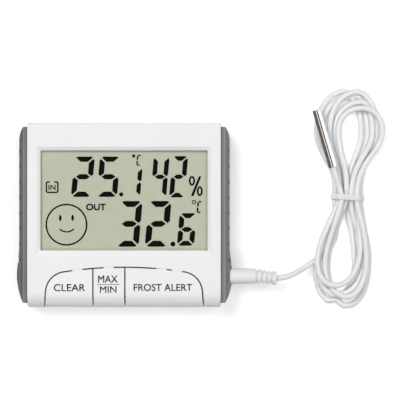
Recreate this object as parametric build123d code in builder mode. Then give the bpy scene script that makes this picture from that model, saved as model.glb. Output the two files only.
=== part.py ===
"""Maximum minimum thermometer with a plug-in outdoor probe, laid on its back.

Units are millimetres. +Z is the way the display faces, +Y is the top of the case and +X its right.
The origin is the middle of the back, in the plane that the thermometer rests on.
"""
import os
from math import cos, pi, radians, sin, sqrt, tan

from build123d import *

# ---------------------------------------------------------------- driving dimensions
CASE_W = 86.7
CASE_H = 82.7
CASE_D = 20.0
SPLIT_Z = 7.0
WALL = 1.8
BOTTOM_ROLL = 7.5
TOP_ROLL = 2.0
EDGE_R = 0.6

WINDOW_W = 74.8
WINDOW_H = 44.8
WINDOW_Y = 6.6
BEZEL_SLOPE_Z = 19.0
BEZEL_SIDE = 1.4
BEZEL_TOP = 1.7
BEZEL_BOTTOM = 2.8
BEZEL_FLARE = 1.1

LENS_T = 1.0
FILM_T = 0.2
GLASS_T = 0.7
GLASS_W = 78.0
GLASS_H = 48.4
LEDGE = 2.7
HOLDER_WALL = 1.3
FIT = 0.15

BOARD_T = 1.0
BOARD_Z = 13.2
BOARD_W = 80.0
BOARD_TOP = 38.4
BOARD_BOTTOM = -37.0
BOARD_TOP_Z = BOARD_Z + BOARD_T
LENS_Z = CASE_D - WALL - LENS_T
FILM_Z = LENS_Z - 0.05 - FILM_T
FRONT_GLASS_Z = FILM_Z - GLASS_T
REAR_GLASS_Z = FRONT_GLASS_Z - GLASS_T
REFLECTOR_Z = REAR_GLASS_Z - FILM_T

CORNER_X = 38.6
CORNER_Y = 35.6
POST_R = 2.6
POST_BORE_R = 1.1
POST_BORE_DEPTH = 8.0
REAR_POST_R = 2.9
REAR_EDGE_R = 2.2
SCREW_HOLE_R = 1.15
SCREW_WELL_R = 2.25
SCREW_WELL_DEPTH = 2.5
BOARD_POST_R = 2.2
BOARD_BORE_R = 0.95
BOARD_BORE_DEPTH = 3.2
BOARD_HOLE_R = 1.1
BOARD_SCREWS = [(-32.0, -21.6), (32.0, -21.6), (-30.0, 35.0), (30.0, 35.0)]

CROWN_Y = -22.95
SHOULDER = (27.1, -25.05)
FIELD_CORNER = (33.7, -29.2)
FIELD_SIDE = (35.35, -33.7)
FIELD_FOOT = (36.1, -42.5)
GAP = 0.6
RAIL_Z = 8.6
FLAP_FOOT_Z = 9.5
TAB_W = 4.5
HINGE_R = 0.45
HINGE_GAP = 0.05
HINGE_Z = CASE_D - WALL / 2
HINGE_Y = {"clear": -24.19, "max_min": -23.08, "alert": -24.15}
SWITCH_Y = -33.0
SWITCH_X = {"clear": -24.5, "max_min": -6.8, "alert": 18.0}
FLAPS = {
    "clear": (-40.0, -14.2, [-20.85]),
    "max_min": (-13.6, 0.1, [-6.8]),
    "alert": (0.7, 40.0, [16.7, 23.7]),
}
SWITCH_SIZE = 6.0
SWITCH_H = 2.4
PLUNGER_R = 1.65
PLUNGER_TOP = 17.3

GRIP_IN = 43.4
GRIP_Z0 = 1.5
GRIP_TOP = 39.6
GRIP_FOOT = -39.3
GRIP_CREST_X = 45.3
GRIP_SIDE_X = 47.35
GRIP_SIDE_TOP = 33.0
GRIP_SIDE_LOW = -14.9
GRIP_WIDEST = (48.55, -26.0)
GRIP_SECTION = [(45.3, 17.9), (46.15, 15.6), (48.8, 11.4), (48.8, 4.4), (45.6, 1.5)]
NOTCH_PITCH = 7.0
NOTCH_TOP_Y = 28.9
NOTCH_COUNT = 8
NOTCH_R = 1.25

CELL_R = 5.25
CELL_L = 44.5
CELL_Y = 15.9
CELL_Z = 7.2
BAY_X = 25.0
BAY_HALF = 5.6
BAY_TOP = 12.5
COVER_X = 27.5
COVER_LOW = 7.6
COVER_T = 1.8
COVER_PIN_R = 0.6
BAY_SKIN = 1.2
TERMINAL = (0.8, 2.0)
TERMINAL_X = BAY_X - 0.5
COVER_PIVOT = (23.4, 0.9)

STAND_W = 46.0
STAND_FOOT = -30.0
STAND_PIVOT = (2.0, 1.3)
STAND_R = 1.1
STAND_PIN_R = 1.0

KEY_X = -34.0
KEY_Y = 12.0
KEY_HOLE_R = 2.6
BUZZER = (33.6, -12.0)
BUZZER_R = 7.0
BUZZER_RIM = 1.4
CHIP = (-4.0, -8.0)
CHIP_R = 6.5
CHIP_H = 1.5
CHIP_ROW = [(-20, -30), (-14, -30), (-8, -30), (-2, -30), (4, -30), (10, -30)]
CHIP_UPRIGHT = [(8, -10), (12, -10), (16, -10), (-16, -16), (-12, -16)]
CHIP_PART = (2.0, 1.2)
CHIP_PART_H = 0.6
INDOOR_SENSOR = (33.5, 15.5)
VENT = (33.5, 25.0)
KEYHOLE_Y = 32.0

PLUG_Y = -27.5
PLUG_Z = 10.5
PLUG_R = 1.25
SOCKET_HOLE_R = 2.75
PLUG_TIP_X = 36.6
BOOT_X = 47.35
BOOT_R = 3.6
BOOT_L = 11.9
RIB_L = 9.3
RIB_TILT = 5.5

CORD_R = 1.3
HANK_T = 6.0
TIE_X = 99.15
TIE_Y = 8.0
TIE_W = 2.9
TIE_SPAN = 14.3
TIE_T = 0.7
NECK = (12.8, 6.0)
UPPER_LOOP = [((100.3, 40.1), 16.2)]
UPPER_MIDDLE = [((101.6, 37.8), 4.9), ((104.2, 42.5), 3.6), ((99.5, 20.5), 1.0)]
LOWER_LOOP = [((96.6, -25.0), 13.3), ((99.5, -30.6), 10.7)]
LOWER_MIDDLE = [((96.2, -25.0), 5.3), ((98.9, -11.2), 1.0)]
PROBE_R = 2.0
PROBE_L = 27.0
PROBE_OUT = (94.3, 21.6, HANK_T + PROBE_R + 0.1)
PROBE_DIR = (-7.5, 25.9, 0.0)

LEAD_OUT = (68.55, -28.4, 10.5)
LEAD_ROUTE = [LEAD_OUT, (73.0, -28.1, 9.7), (77.5, -26.2, 7.4), (81.4, -23.9, 4.9), (84.9, -22.4, 3.6)]
TAIL_ROUTE = [PROBE_OUT, (95.25, 18.3, 8.1), (95.9, 15.2, 7.1), (96.3, 12.3, 5.3)]


# ---------------------------------------------------------------- shared outlines
def side_profile(inset):
    """The front housing's side view, inset by a wall."""
    half = CASE_H / 2 - inset
    top = CASE_D - inset
    low_r = BOTTOM_ROLL - inset
    high_r = max(TOP_ROLL - inset, 0.4)
    with BuildSketch() as profile:
        with BuildLine():
            Line((-half, SPLIT_Z), (-half, top - low_r))
            TangentArc((-half, top - low_r), (-half + low_r, top), tangent=(0, 1))
            Line((-half + low_r, top), (half - high_r, top))
            TangentArc((half - high_r, top), (half, top - high_r), tangent=(1, 0))
            Line((half, top - high_r), (half, SPLIT_Z))
            Line((half, SPLIT_Z), (-half, SPLIT_Z))
        make_face()
    return profile.sketch


def crown_y(x):
    """Height of the arch's crown at x: one circle through the crown and both shoulders."""
    drop = CROWN_Y - SHOULDER[1]
    radius = (SHOULDER[0] ** 2 + drop**2) / (2 * drop)
    return CROWN_Y - radius + sqrt(radius**2 - x**2)


def button_field(inset):
    """The arched opening that holds the three button flaps, inset evenly."""
    with BuildSketch() as field:
        with BuildLine() as half_line:
            Line(FIELD_FOOT, FIELD_SIDE)
            ThreePointArc(FIELD_SIDE, FIELD_CORNER, SHOULDER)
            ThreePointArc(SHOULDER, (SHOULDER[0] / 2, crown_y(SHOULDER[0] / 2)), (0, CROWN_Y))
            mirror(half_line.line, about=Plane.YZ)
            Line((-FIELD_FOOT[0], FIELD_FOOT[1]), FIELD_FOOT)
        make_face()
        if inset:
            offset(amount=-inset, mode=Mode.REPLACE)
    return field.sketch


def bezel_outline(grow_side, grow_top, grow_bottom, flare):
    """The window outline, grown by the bezel's slopes, with flared lower corners."""
    right = WINDOW_W / 2 + grow_side
    top = WINDOW_Y + WINDOW_H / 2 + grow_top
    low = WINDOW_Y - WINDOW_H / 2 - grow_bottom
    bend = WINDOW_Y - WINDOW_H / 2 + 4.0
    corners = [(right, top), (right, bend), (right + flare, low)]
    mirrored = [(-x, y) for x, y in reversed(corners)]
    with BuildSketch() as outline:
        with BuildLine():
            Polyline(*corners, *mirrored, close=True)
        make_face()
    return outline.sketch


def hinge_section(key, radius, reach):
    """Side view of one flap's hinge: a round bead on the pivot with its neck towards the flap."""
    with BuildSketch() as section:
        with Locations((HINGE_Y[key], HINGE_Z)):
            Circle(radius)
        with Locations((HINGE_Y[key] - reach / 2, HINGE_Z)):
            Rectangle(reach, 2 * radius)
    return section.sketch


def rounded_route(points):
    """Radii of a cord's bends: each as large as its two runs allow."""
    radii = []
    for before, corner, after in zip(points, points[1:], points[2:]):
        run_in = Vector(*corner) - Vector(*before)
        run_out = Vector(*after) - Vector(*corner)
        half_turn = radians(run_in.get_angle(run_out)) / 2
        radii.append(0.45 * min(run_in.length, run_out.length) / tan(half_turn))
    return radii


# ---------------------------------------------------------------- casing
case_outside = side_profile(0)
case_inside = side_profile(WALL)
button_opening = button_field(0)
flap_outline = button_field(GAP)
hinge_seats = {key: hinge_section(key, HINGE_R + HINGE_GAP, 1.2) for key in FLAPS}
hinge_beads = {key: hinge_section(key, HINGE_R, 1.8) for key in FLAPS}
window_edge = bezel_outline(0, 0, 0, 0)
bezel_edge = bezel_outline(BEZEL_SIDE, BEZEL_TOP, BEZEL_BOTTOM, BEZEL_FLARE)

with BuildPart() as front_housing:
    with BuildSketch(Plane.YZ):
        add(case_outside)
    extrude(amount=CASE_W / 2, both=True)
    side_edges = front_housing.faces().filter_by(Axis.X).edges()
    fillet([edge for edge in side_edges if edge.center().Z > SPLIT_Z + 0.1], EDGE_R)
    with BuildSketch(Plane.YZ):
        add(case_inside)
    extrude(amount=CASE_W / 2 - WALL, both=True, mode=Mode.SUBTRACT)
    with BuildSketch(Plane.XY.offset(SPLIT_Z)):
        with GridLocations(2 * CORNER_X, 2 * CORNER_Y, 2, 2):
            Circle(POST_R)
    extrude(amount=CASE_D - WALL - SPLIT_Z + 0.1)
    with BuildSketch(Plane.XY.offset(BOARD_TOP_Z)):
        with Locations(*BOARD_SCREWS):
            Circle(BOARD_POST_R)
    extrude(amount=CASE_D - WALL - BOARD_TOP_Z + 0.1)
    with Locations((0, WINDOW_Y, CASE_D - WALL)):
        Box(WINDOW_W, WINDOW_H, 2 * WALL, mode=Mode.SUBTRACT)
    with BuildSketch(Plane.XY.offset(BEZEL_SLOPE_Z)):
        add(window_edge)
    with BuildSketch(Plane.XY.offset(CASE_D)):
        add(bezel_edge)
    loft(mode=Mode.SUBTRACT)
    with BuildSketch(Plane.XY.offset(RAIL_Z)):
        add(button_opening)
    extrude(amount=CASE_D, mode=Mode.SUBTRACT)
    for key, (_, _, tabs) in FLAPS.items():
        for tab_x in tabs:
            with BuildSketch(Plane.YZ.offset(tab_x)):
                add(hinge_seats[key])
            extrude(amount=TAB_W / 2 + HINGE_GAP, both=True, mode=Mode.SUBTRACT)
    with BuildSketch(Plane.XY.offset(SPLIT_Z)):
        with GridLocations(2 * CORNER_X, 2 * CORNER_Y, 2, 2):
            Circle(POST_BORE_R)
    extrude(amount=POST_BORE_DEPTH, mode=Mode.SUBTRACT)
    with BuildSketch(Plane.XY.offset(BOARD_TOP_Z)):
        with Locations(*BOARD_SCREWS):
            Circle(BOARD_BORE_R)
    extrude(amount=BOARD_BORE_DEPTH, mode=Mode.SUBTRACT)
    with BuildSketch(Plane.YZ.offset(CASE_W / 2 - WALL - 1)):
        with Locations((PLUG_Y, PLUG_Z)):
            Circle(SOCKET_HOLE_R)
    extrude(amount=WALL + 2, mode=Mode.SUBTRACT)
front_housing.part.label = "front_housing"

with BuildPart() as rear_housing:
    Box(CASE_W, CASE_H, SPLIT_Z, align=(Align.CENTER, Align.CENTER, Align.MIN))
    fillet(rear_housing.faces().sort_by(Axis.Z)[0].edges(), REAR_EDGE_R)
    with Locations((0, 0, WALL)):
        Box(
            CASE_W - 2 * WALL,
            CASE_H - 2 * WALL,
            SPLIT_Z,
            align=(Align.CENTER, Align.CENTER, Align.MIN),
            mode=Mode.SUBTRACT,
        )
    # screw posts, battery bay, and the thicker floors behind the battery cover and the stand
    with BuildSketch(Plane.XY.offset(WALL)):
        with GridLocations(2 * CORNER_X, 2 * CORNER_Y, 2, 2):
            Circle(REAR_POST_R)
    extrude(amount=SPLIT_Z - WALL)
    with Locations((0, CELL_Y, WALL)):
        Box(
            2 * (BAY_X + BAY_SKIN),
            2 * (BAY_HALF + BAY_SKIN),
            BAY_TOP + BAY_SKIN / 2 - WALL,
            align=(Align.CENTER, Align.CENTER, Align.MIN),
        )
        Box(2 * COVER_X + 5.0, 20.2, 1.3, align=(Align.CENTER, Align.CENTER, Align.MIN))
    with BuildSketch(Plane.XY.offset(WALL)):
        with Locations((0, (STAND_FOOT + STAND_PIVOT[0]) / 2)):
            RectangleRounded(STAND_W + 5.0, STAND_PIVOT[0] - STAND_FOOT + 6.0, 2.0)
    extrude(amount=2.4)
    # cover recess with its pivot holes, then the bay itself
    with BuildSketch(Plane.XY):
        with Locations((0, (COVER_LOW - 0.3 + COVER_PIVOT[0] + 1.1) / 2)):
            Rectangle(2 * COVER_X + 0.6, COVER_PIVOT[0] + 1.1 - COVER_LOW + 0.3)
    extrude(amount=COVER_T + 0.1, mode=Mode.SUBTRACT)
    with BuildSketch(Plane.YZ):
        with Locations(COVER_PIVOT):
            Circle(COVER_PIN_R + 0.05)
    extrude(amount=COVER_X + 1.5, both=True, mode=Mode.SUBTRACT)
    with Locations((0, CELL_Y, 0)):
        Box(
            2 * BAY_X,
            2 * BAY_HALF,
            BAY_TOP,
            align=(Align.CENTER, Align.CENTER, Align.MIN),
            mode=Mode.SUBTRACT,
        )
    with BuildSketch(Plane.XY.offset(BAY_TOP)):
        with Locations((-TERMINAL_X, CELL_Y), (TERMINAL_X, CELL_Y)):
            Rectangle(*TERMINAL)
    extrude(amount=1.0, mode=Mode.SUBTRACT)
    # stand recess, finger notch and pivot holes
    with BuildSketch(Plane.XY):
        with Locations((0, (STAND_FOOT - 0.5 + STAND_PIVOT[0] + STAND_R + 0.3) / 2)):
            RectangleRounded(STAND_W + 0.6, STAND_PIVOT[0] + STAND_R + 0.8 - STAND_FOOT, 1.0)
        with Locations((0, STAND_FOOT - 0.5)):
            Circle(2.6)
    extrude(amount=2.7, mode=Mode.SUBTRACT)
    with BuildSketch(Plane.YZ):
        with Locations(STAND_PIVOT):
            Circle(STAND_PIN_R + 0.05)
    extrude(amount=STAND_W / 2 + 1.8, both=True, mode=Mode.SUBTRACT)
    # openings in the back: screws, key, sound holes, vents, hanging keyhole
    with BuildSketch(Plane.XY):
        with GridLocations(2 * CORNER_X, 2 * CORNER_Y, 2, 2):
            Circle(SCREW_HOLE_R)
        with Locations((KEY_X, KEY_Y)):
            Circle(KEY_HOLE_R)
        with Locations(BUZZER):
            with PolarLocations(2.4, 6):
                Circle(0.6)
        with Locations(VENT):
            with GridLocations(0, 2.4, 1, 5):
                SlotOverall(9.0, 1.2)
        with Locations((0, KEYHOLE_Y)):
            Circle(3.5)
        with Locations((0, KEYHOLE_Y + 2.2)):
            SlotOverall(8.0, 3.6, rotation=90)
    extrude(amount=SPLIT_Z, mode=Mode.SUBTRACT)
    with BuildSketch(Plane.XY):
        with GridLocations(2 * CORNER_X, 2 * CORNER_Y, 2, 2):
            Circle(SCREW_WELL_R)
    extrude(amount=SCREW_WELL_DEPTH, mode=Mode.SUBTRACT)
rear_housing.part.label = "rear_housing"


def side_grip():
    """The right-hand grip: its plan outline crossed with its faceted section, then notched."""
    with BuildPart() as grip:
        with BuildSketch(Plane.XY.offset(GRIP_Z0)):
            with BuildLine():
                Polyline((GRIP_IN, GRIP_FOOT), (GRIP_IN, GRIP_TOP), (GRIP_CREST_X, GRIP_TOP))
                ThreePointArc((GRIP_CREST_X, GRIP_TOP), (46.75, 36.9), (GRIP_SIDE_X, GRIP_SIDE_TOP))
                Line((GRIP_SIDE_X, GRIP_SIDE_TOP), (GRIP_SIDE_X, GRIP_SIDE_LOW))
                Line((GRIP_SIDE_X, GRIP_SIDE_LOW), GRIP_WIDEST)
                ThreePointArc(GRIP_WIDEST, (47.75, -33.4), (GRIP_CREST_X + 0.1, GRIP_FOOT))
                Line((GRIP_CREST_X + 0.1, GRIP_FOOT), (GRIP_IN, GRIP_FOOT))
            make_face()
        extrude(amount=CASE_D)
        with BuildSketch(Plane.XZ):
            with BuildLine():
                Polyline(
                    (GRIP_IN, GRIP_Z0 + 0.4),
                    (GRIP_IN, 18.5),
                    *GRIP_SECTION,
                    (GRIP_IN + 0.4, GRIP_Z0),
                    close=True,
                )
            make_face()
        extrude(amount=CASE_H, both=True, mode=Mode.INTERSECT)
        with BuildSketch(Plane.XY.offset(4.5)):
            with Locations(*[(47.95, NOTCH_TOP_Y - step * NOTCH_PITCH) for step in range(NOTCH_COUNT)]):
                Circle(NOTCH_R)
        extrude(amount=9.0, mode=Mode.SUBTRACT)
    return grip


plain_grip = side_grip()
with BuildPart() as right_side_grip:
    add(plain_grip.part)
    with BuildSketch(Plane.YZ.offset(GRIP_IN - 1)):
        with Locations((PLUG_Y, PLUG_Z)):
            Circle(SOCKET_HOLE_R)
    extrude(amount=10.0, mode=Mode.SUBTRACT)
    with BuildSketch(Plane.YZ.offset(BOOT_X - 0.15)):
        with Locations((PLUG_Y, PLUG_Z)):
            Circle(BOOT_R + 0.25)
    extrude(amount=10.0, mode=Mode.SUBTRACT)
right_side_grip.part.label = "right_side_grip"

with BuildPart() as left_side_grip:
    mirror(plain_grip.part, about=Plane.YZ)
left_side_grip.part.label = "left_side_grip"


# ---------------------------------------------------------------- button flaps and switches
def button_flap(key):
    """One flap: a slice of the housing's own skin inside the arched opening, with hinge tabs and a post."""
    x_low, x_high, tabs = FLAPS[key]
    with BuildPart() as flap:
        with BuildSketch(Plane.YZ.offset(x_low)):
            add(case_outside)
            add(case_inside, mode=Mode.SUBTRACT)
        extrude(amount=x_high - x_low)
        with BuildSketch(Plane.XY.offset(FLAP_FOOT_Z)):
            add(flap_outline)
        extrude(amount=CASE_D, mode=Mode.INTERSECT)
        for tab_x in tabs:
            with BuildSketch(Plane.YZ.offset(tab_x)):
                add(hinge_beads[key])
            extrude(amount=TAB_W / 2, both=True)
        with BuildSketch(Plane.XY.offset(PLUNGER_TOP + 0.05)):
            with Locations((SWITCH_X[key], SWITCH_Y)):
                Circle(1.5)
        extrude(amount=CASE_D - WALL - PLUNGER_TOP + 0.2)
    flap.part.label = f"{key}_button"
    return flap


def switch_plunger(label, x, y, z_low, z_high):
    """The round plunger of a push switch."""
    with BuildPart() as plunger:
        with BuildSketch(Plane.XY.offset(z_low)):
            with Locations((x, y)):
                Circle(PLUNGER_R)
        extrude(amount=z_high - z_low)
    plunger.part.label = label
    return plunger


flaps = [button_flap(key) for key in FLAPS]
plungers = [switch_plunger(f"{key}_plunger", x, SWITCH_Y, 15.4, PLUNGER_TOP) for key, x in SWITCH_X.items()]

with BuildPart() as switch_bodies:
    with BuildSketch(Plane.XY.offset(BOARD_TOP_Z)):
        with Locations(*[(x, SWITCH_Y) for x in SWITCH_X.values()]):
            RectangleRounded(SWITCH_SIZE, SWITCH_SIZE, 0.4)
    extrude(amount=SWITCH_H)
    with BuildSketch(Plane.XY.offset(15.0)):
        with Locations(*[(x, SWITCH_Y) for x in SWITCH_X.values()]):
            Circle(PLUNGER_R + 0.08)
    extrude(amount=SWITCH_H, mode=Mode.SUBTRACT)
switch_bodies.part.label = "button_switches"


# ---------------------------------------------------------------- display
def plate(label, width, height, z_low, thickness, centre_y=WINDOW_Y):
    """A flat rectangular plate of the display stack."""
    with BuildPart() as sheet:
        with BuildSketch(Plane.XY.offset(z_low)):
            with Locations((0, centre_y)):
                Rectangle(width, height)
        extrude(amount=thickness)
    sheet.part.label = label
    return sheet


VIEW_H = GLASS_H - 2 * LEDGE
ZEBRA_Y = GLASS_H / 2 - 1.2
display = [
    plate("display_lens", GLASS_W + 1.6, GLASS_H + 1.6, LENS_Z, LENS_T),
    plate("lcd_polariser", GLASS_W - 1.0, GLASS_H - 1.0, FILM_Z, FILM_T),
    plate("lcd_front_glass", GLASS_W, GLASS_H, FRONT_GLASS_Z, GLASS_T),
    plate("lcd_rear_glass", GLASS_W, VIEW_H, REAR_GLASS_Z, GLASS_T),
    plate("lcd_reflector", GLASS_W - 1.0, VIEW_H - 1.0, REFLECTOR_Z, FILM_T),
    plate("upper_zebra_strip", 72.0, 1.8, BOARD_TOP_Z, FRONT_GLASS_Z - BOARD_TOP_Z, WINDOW_Y + ZEBRA_Y),
    plate("lower_zebra_strip", 72.0, 1.8, BOARD_TOP_Z, FRONT_GLASS_Z - BOARD_TOP_Z, WINDOW_Y - ZEBRA_Y),
]

with BuildPart() as lcd_holder:
    with BuildSketch(Plane.XY.offset(BOARD_TOP_Z)):
        with Locations((0, WINDOW_Y)):
            Rectangle(GLASS_W + 2 * (FIT + HOLDER_WALL), GLASS_H + 2 * (FIT + HOLDER_WALL))
            Rectangle(GLASS_W + 2 * FIT, GLASS_H + 2 * FIT, mode=Mode.SUBTRACT)
    extrude(amount=FILM_Z + FILM_T - BOARD_TOP_Z)
lcd_holder.part.label = "lcd_holder"

# ---------------------------------------------------------------- circuit board and what it carries
with BuildPart() as circuit_board:
    with BuildSketch(Plane.XY.offset(BOARD_Z)):
        with Locations((0, (BOARD_TOP + BOARD_BOTTOM) / 2)):
            Rectangle(BOARD_W, BOARD_TOP - BOARD_BOTTOM)
        with GridLocations(2 * CORNER_X, 2 * CORNER_Y, 2, 2):
            Rectangle(7.6, 7.6, mode=Mode.SUBTRACT)
        with Locations(*BOARD_SCREWS):
            Circle(BOARD_HOLE_R, mode=Mode.SUBTRACT)
        with Locations((-TERMINAL_X, CELL_Y), (TERMINAL_X, CELL_Y)):
            Rectangle(*TERMINAL, mode=Mode.SUBTRACT)
    extrude(amount=BOARD_T)
circuit_board.part.label = "circuit_board"

with BuildPart() as chip_blob:
    with BuildSketch(Plane.XY.offset(BOARD_Z - CHIP_H)):
        with Locations(CHIP):
            Circle(CHIP_R)
    extrude(amount=CHIP_H)
    fillet(chip_blob.edges().group_by(Axis.Z)[0], 1.3)
chip_blob.part.label = "chip_blob"

with BuildPart() as quartz_crystal:
    with BuildSketch(Plane.YZ.offset(8.0)):
        with Locations((-4.0, BOARD_Z - 1.1)):
            Circle(1.0)
    extrude(amount=6.2)
quartz_crystal.part.label = "quartz_crystal"

with BuildPart() as chip_parts:
    with BuildSketch(Plane.XY.offset(BOARD_Z - CHIP_PART_H)):
        with Locations(*CHIP_ROW):
            Rectangle(*CHIP_PART)
        with Locations(*CHIP_UPRIGHT):
            Rectangle(*CHIP_PART, rotation=90)
    extrude(amount=CHIP_PART_H)
chip_parts.part.label = "chip_resistors_and_capacitors"

with BuildPart() as humidity_sensor:
    with BuildSketch(Plane.XY.offset(BOARD_Z - 1.6)):
        with Locations(VENT):
            RectangleRounded(6.0, 8.0, 0.5)
            with GridLocations(2.0, 2.0, 2, 3):
                Circle(0.5, mode=Mode.SUBTRACT)
    extrude(amount=1.6)
humidity_sensor.part.label = "humidity_sensor"

with BuildPart() as indoor_thermistor:
    with BuildSketch(Plane.XY.offset(BOARD_Z - 3.6)):
        with Locations(INDOOR_SENSOR):
            Circle(1.1)
    extrude(amount=2.0)
    fillet(indoor_thermistor.edges().filter_by(GeomType.CIRCLE), 0.6)
    with BuildSketch(Plane.XY.offset(BOARD_Z - 2.0)):
        with Locations(INDOOR_SENSOR):
            with GridLocations(1.2, 0, 2, 1):
                Circle(0.25)
    extrude(amount=2.0)
indoor_thermistor.part.label = "indoor_thermistor"

with BuildPart() as piezo_buzzer:
    with BuildSketch(Plane.XY.offset(WALL)):
        with Locations(BUZZER):
            Circle(BUZZER_R)
            Circle(BUZZER_R - BUZZER_RIM, mode=Mode.SUBTRACT)
    extrude(amount=1.2)
    with BuildSketch(Plane.XY.offset(WALL + 1.2)):
        with Locations(BUZZER):
            Circle(BUZZER_R)
    extrude(amount=0.5)
piezo_buzzer.part.label = "piezo_buzzer"

with BuildPart() as probe_socket:
    with BuildSketch(Plane.YZ.offset(34.4)):
        with Locations((PLUG_Y, PLUG_Z + 0.1)):
            Rectangle(6.0, 5.2)
    extrude(amount=7.0)
    with BuildSketch(Plane.YZ.offset(41.4)):
        with Locations((PLUG_Y, PLUG_Z)):
            Circle(2.6)
    extrude(amount=1.9)
    with BuildSketch(Plane.YZ.offset(36.2)):
        with Locations((PLUG_Y, PLUG_Z)):
            Circle(PLUG_R + 0.06)
    extrude(amount=10.0, mode=Mode.SUBTRACT)
probe_socket.part.label = "probe_socket"

# ---------------------------------------------------------------- battery bay
with BuildPart() as battery_cell:
    with BuildSketch(Plane.YZ.offset(-21.5)):
        with Locations((CELL_Y, CELL_Z)):
            Circle(CELL_R)
    extrude(amount=CELL_L - 0.8)
    fillet(battery_cell.edges().filter_by(GeomType.CIRCLE), 0.5)
    with BuildSketch(Plane.YZ.offset(CELL_L - 22.3)):
        with Locations((CELL_Y, CELL_Z)):
            Circle(1.9)
    extrude(amount=0.8)
battery_cell.part.label = "aaa_cell"

with BuildPart() as spring_contact:
    with Locations((-BAY_X + 0.3, CELL_Y, CELL_Z)):
        Box(0.4, 9.0, 8.6)
    with Locations((-BAY_X + 0.3, CELL_Y, BOARD_Z - 0.4)):
        Box(0.4, 1.4, 3.0)
    with BuildLine(Plane.XY) as coil:
        Helix(
            pitch=0.85,
            height=2.2,
            radius=3.2,
            center=(-BAY_X + 0.55, CELL_Y, CELL_Z),
            direction=(1, 0, 0),
            cone_angle=-20,
        )
    with BuildSketch(Plane(origin=coil.line @ 0, z_dir=coil.line % 0)):
        Circle(0.25)
    sweep(path=coil.line, is_frenet=True)
spring_contact.part.label = "battery_spring_contact"

with BuildPart() as cap_contact:
    with Locations((BAY_X - 0.3, CELL_Y, CELL_Z)):
        Box(0.4, 9.0, 8.6)
    with Locations((BAY_X - 0.3, CELL_Y, BOARD_Z - 0.4)):
        Box(0.4, 1.4, 3.0)
    with BuildSketch(Plane.YZ.offset(23.05)):
        with Locations((CELL_Y, CELL_Z)):
            Circle(1.4)
    extrude(amount=1.6, taper=-20)
cap_contact.part.label = "battery_cap_contact"

with BuildPart() as battery_cover:
    with BuildSketch(Plane.YZ):
        with BuildLine():
            Line((COVER_PIVOT[0], COVER_T), (COVER_LOW, COVER_T))
            Line((COVER_LOW, COVER_T), (COVER_LOW, 0.3))
            Line((COVER_LOW, 0.3), (COVER_LOW + 0.3, 0))
            Line((COVER_LOW + 0.3, 0), (COVER_PIVOT[0], 0))
            ThreePointArc(
                (COVER_PIVOT[0], 0),
                (COVER_PIVOT[0] + COVER_PIVOT[1], COVER_PIVOT[1]),
                (COVER_PIVOT[0], COVER_T),
            )
        make_face()
    extrude(amount=COVER_X, both=True)
    with BuildSketch(Plane.YZ):
        with Locations(COVER_PIVOT):
            Circle(COVER_PIN_R)
    extrude(amount=COVER_X + 1.2, both=True)
    with BuildSketch(Plane.XY.offset(COVER_T - 0.1)):
        with Locations((0, CELL_Y - BAY_HALF + 0.9)):
            Rectangle(9.0, 1.0)
    extrude(amount=1.6)
    with BuildSketch(Plane.XY):
        with Locations((0, COVER_LOW + 2.6)):
            with GridLocations(0, 1.3, 1, 3):
                SlotOverall(12.0, 0.6)
    extrude(amount=0.4, mode=Mode.SUBTRACT)
battery_cover.part.label = "battery_cover"

# ---------------------------------------------------------------- stand
with BuildPart() as table_stand:
    with BuildSketch(Plane.YZ):
        with BuildLine():
            Line((STAND_PIVOT[0], STAND_PIVOT[1] + STAND_R), (STAND_FOOT, STAND_PIVOT[1] + STAND_R))
            Line((STAND_FOOT, STAND_PIVOT[1] + STAND_R), (STAND_FOOT, STAND_PIVOT[1] - STAND_R))
            Line((STAND_FOOT, STAND_PIVOT[1] - STAND_R), (STAND_PIVOT[0], STAND_PIVOT[1] - STAND_R))
            ThreePointArc(
                (STAND_PIVOT[0], STAND_PIVOT[1] - STAND_R),
                (STAND_PIVOT[0] + STAND_R, STAND_PIVOT[1]),
                (STAND_PIVOT[0], STAND_PIVOT[1] + STAND_R),
            )
        make_face()
    extrude(amount=STAND_W / 2, both=True)
    fillet(table_stand.edges().filter_by(Axis.Z), 4.0)
    with BuildSketch(Plane.YZ):
        with Locations(STAND_PIVOT):
            Circle(STAND_PIN_R)
    extrude(amount=STAND_W / 2 + 1.5, both=True)
    with BuildSketch(Plane.XY):
        with Locations((0, STAND_FOOT + 5.0)):
            with GridLocations(0, 2.0, 1, 3):
                SlotOverall(24.0, 0.8)
    extrude(amount=0.7, mode=Mode.SUBTRACT)
table_stand.part.label = "table_stand"

# ---------------------------------------------------------------- temperature unit key on the back
UNIT_SWITCH_Z = BOARD_Z - SWITCH_H
with BuildPart() as unit_key:
    for radius, z_low, z_high in ((2.5, 0.15, 2.0), (3.5, 1.9, 2.7), (1.5, 2.6, 9.85)):
        with BuildSketch(Plane.XY.offset(z_low)):
            with Locations((KEY_X, KEY_Y)):
                Circle(radius)
        extrude(amount=z_high - z_low)
unit_key.part.label = "unit_key"

with BuildPart() as unit_switch:
    with BuildSketch(Plane.XY.offset(UNIT_SWITCH_Z)):
        with Locations((KEY_X, KEY_Y)):
            RectangleRounded(SWITCH_SIZE, SWITCH_SIZE, 0.4)
    extrude(amount=SWITCH_H)
    with BuildSketch(Plane.XY.offset(UNIT_SWITCH_Z - 0.1)):
        with Locations((KEY_X, KEY_Y)):
            Circle(PLUNGER_R + 0.08)
    extrude(amount=1.8, mode=Mode.SUBTRACT)
unit_switch.part.label = "unit_switch"

unit_plunger = switch_plunger("unit_plunger", KEY_X, KEY_Y, 9.9, 12.1)


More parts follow.
